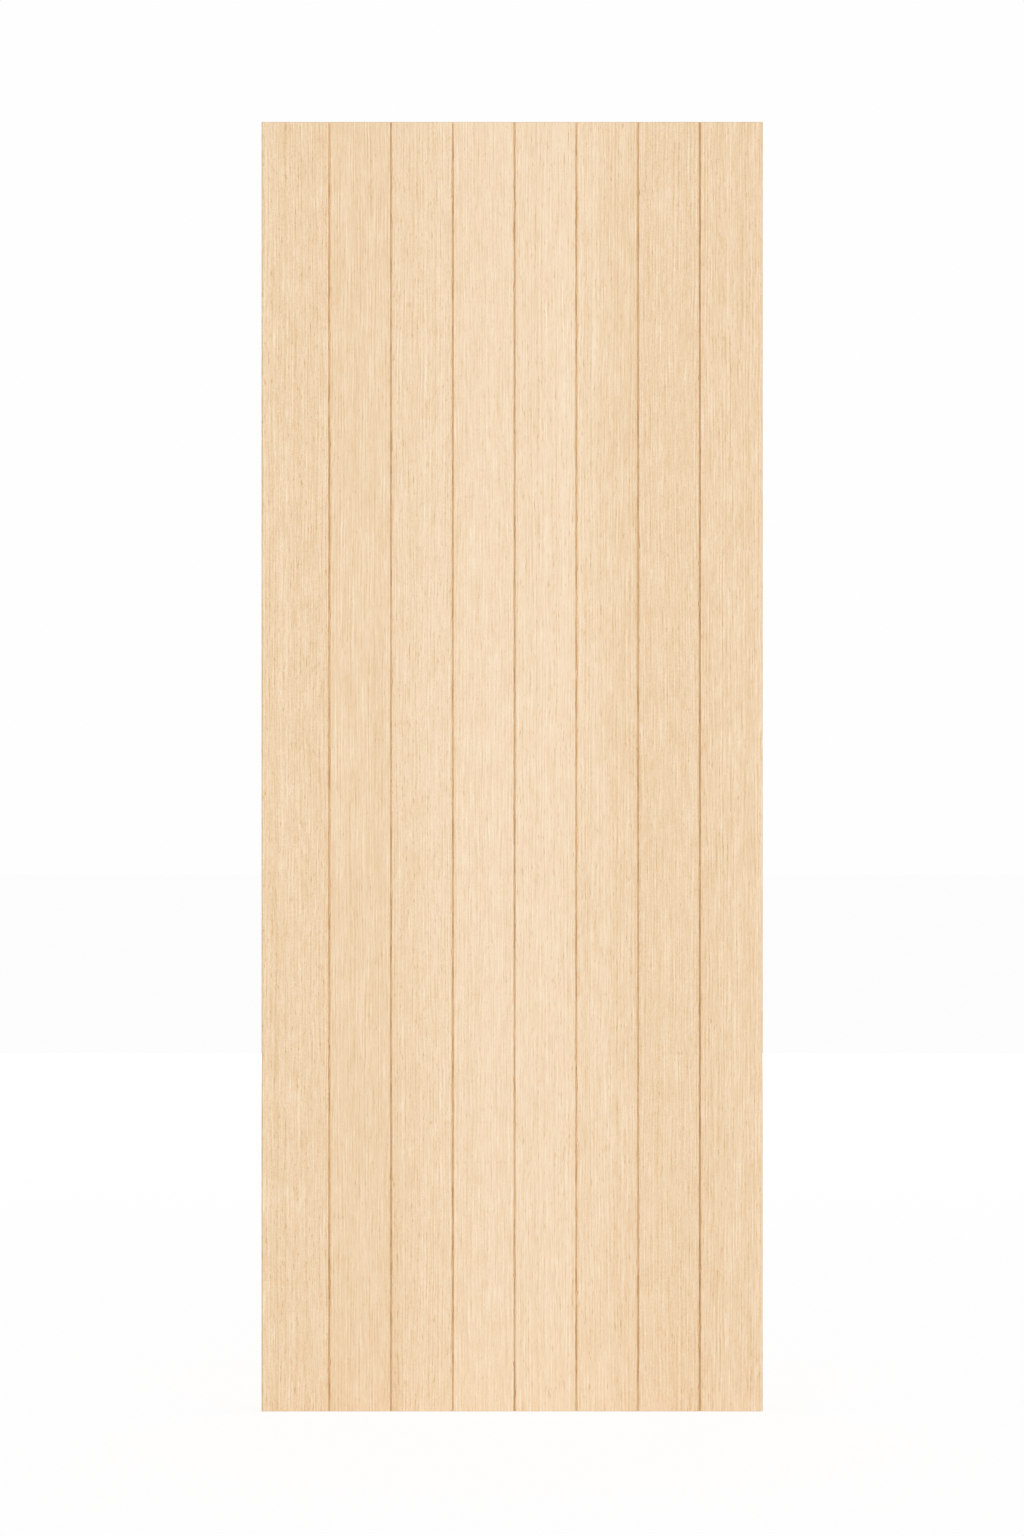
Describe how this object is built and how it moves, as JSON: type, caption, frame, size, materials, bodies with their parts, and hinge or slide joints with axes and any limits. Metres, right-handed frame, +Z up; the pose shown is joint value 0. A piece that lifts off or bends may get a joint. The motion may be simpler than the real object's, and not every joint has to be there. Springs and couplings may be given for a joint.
{
  "type": "wooden entrance door leaf",
  "caption": "Tall rectangular door leaf, boarded upright on both faces over a tenoned inner frame, with narrow open joints between the boards and lipped edges.",
  "frame": {"origin": "on the hinge edge, at the foot of the leaf, midway through its thickness", "axes": "+X across the leaf from the hinge edge to the lock edge, +Y from the front face to the back face, +Z up"},
  "size_m": [0.82, 0.054, 2.11],
  "materials": {
    "oak_boards": "pale oak, planed and sanded, clear matt lacquer",
    "oak_lipping": "pale oak, planed, clear matt lacquer",
    "frame_timber": "laminated softwood, planed, bare",
    "wood_fibre_infill": "pressed wood fibre board, bare"
  },
  "bodies": {
    "root": {"front_board_1": "oak_boards", "front_board_2": "oak_boards", "front_board_3": "oak_boards", "front_board_4": "oak_boards", "front_board_5": "oak_boards", "front_board_6": "oak_boards", "front_board_7": "oak_boards", "front_board_8": "oak_boards", "back_board_1": "oak_boards", "back_board_2": "oak_boards", "back_board_3": "oak_boards", "back_board_4": "oak_boards", "back_board_5": "oak_boards", "back_board_6": "oak_boards", "back_board_7": "oak_boards", "back_board_8": "oak_boards", "hinge_edge_lipping": "oak_lipping", "lock_edge_lipping": "oak_lipping", "top_lipping": "oak_lipping", "bottom_lipping": "oak_lipping", "hinge_stile": "frame_timber", "lock_stile": "frame_timber", "top_rail": "frame_timber", "lock_rail": "frame_timber", "bottom_rail": "frame_timber", "upper_infill": "wood_fibre_infill", "lower_infill": "wood_fibre_infill"}
  },
  "joints": []
}
